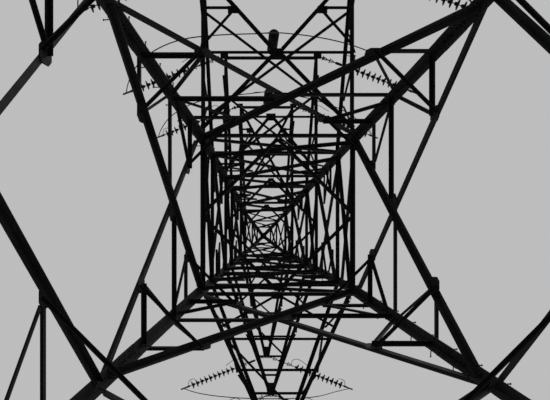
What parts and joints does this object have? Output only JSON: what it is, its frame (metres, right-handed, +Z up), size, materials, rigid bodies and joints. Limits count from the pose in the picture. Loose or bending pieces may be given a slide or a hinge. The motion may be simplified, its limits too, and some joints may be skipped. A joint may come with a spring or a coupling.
{
  "type": "lattice transmission pylon",
  "caption": "Square lattice tower of angle sections on four legs, with wide and pointed crossarms, insulator strings and an earth-wire peak.",
  "frame": {"origin": "on the tower axis at the underside of the base plates, the centre of the anchor hole pattern", "axes": "+Z up the tower, X along the power line, -Y towards the square crossarms"},
  "size_m": [10.56, 11.4525, 29.726],
  "materials": {
    "galvanised_steel": "weathered galvanised",
    "base_plate_steel": "weathered galvanised",
    "insulator_glass": "glossy toughened glass discs",
    "conductor_aluminium": "stranded, weathered",
    "clamp_aluminium": "cast, weathered"
  },
  "bodies": {
    "root": {"base_braces": "galvanised_steel", "base_gussets": "galvanised_steel", "base_plates": "base_plate_steel", "base_ties": "galvanised_steel", "high_inner_jumper": "conductor_aluminium", "high_outer_jumper": "conductor_aluminium", "high_pointed_arm_chords": "galvanised_steel", "high_pointed_arm_rungs": "galvanised_steel", "high_pointed_arm_side_lacing": "galvanised_steel", "high_square_arm_chords": "galvanised_steel", "high_square_arm_floor": "galvanised_steel", "high_square_arm_side_lacing": "galvanised_steel", "high_square_arm_top_cross": "galvanised_steel", "low_inner_jumper": "conductor_aluminium", "low_outer_jumper": "conductor_aluminium", "low_pointed_arm_chords": "galvanised_steel", "low_pointed_arm_rungs": "galvanised_steel", "low_pointed_arm_side_lacing": "galvanised_steel", "low_square_arm_chords": "galvanised_steel", "low_square_arm_floor": "galvanised_steel", "low_square_arm_side_lacing": "galvanised_steel", "low_square_arm_top_cross": "galvanised_steel", "lower_legs": "galvanised_steel", "lower_panel_crossing_horizontals": "galvanised_steel", "lower_panel_diagonals": "galvanised_steel", "lower_panel_gussets": "galvanised_steel", "lower_panel_hip_braces": "galvanised_steel", "lower_panel_ties": "galvanised_steel", "middle_inner_jumper": "conductor_aluminium", "middle_legs": "galvanised_steel", "middle_outer_jumper": "conductor_aluminium", "middle_panel_crossing_horizontals": "galvanised_steel", "middle_panel_diagonals": "galvanised_steel", "middle_panel_gussets": "galvanised_steel", "middle_panel_hip_braces": "galvanised_steel", "middle_panel_ties": "galvanised_steel", "middle_pointed_arm_chords": "galvanised_steel", "middle_pointed_arm_rungs": "galvanised_steel", "middle_pointed_arm_side_lacing": "galvanised_steel", "middle_square_arm_chords": "galvanised_steel", "middle_square_arm_floor": "galvanised_steel", "middle_square_arm_side_lacing": "galvanised_steel", "middle_square_arm_top_cross": "galvanised_steel", "peak_bracing": "galvanised_steel", "peak_cap": "galvanised_steel", "peak_legs": "galvanised_steel", "peak_rings": "galvanised_steel", "pilot_clamps": "clamp_aluminium", "pilot_insulators": "insulator_glass", "pilot_links": "galvanised_steel", "string_hangers": "galvanised_steel", "tension_clamps": "clamp_aluminium", "tension_insulators": "insulator_glass", "tension_links": "galvanised_steel", "tip_plates": "galvanised_steel", "upper_diagonals": "galvanised_steel", "upper_legs": "galvanised_steel", "upper_packings": "galvanised_steel", "upper_rings": "galvanised_steel", "waist_ring": "galvanised_steel"}
  },
  "joints": []
}
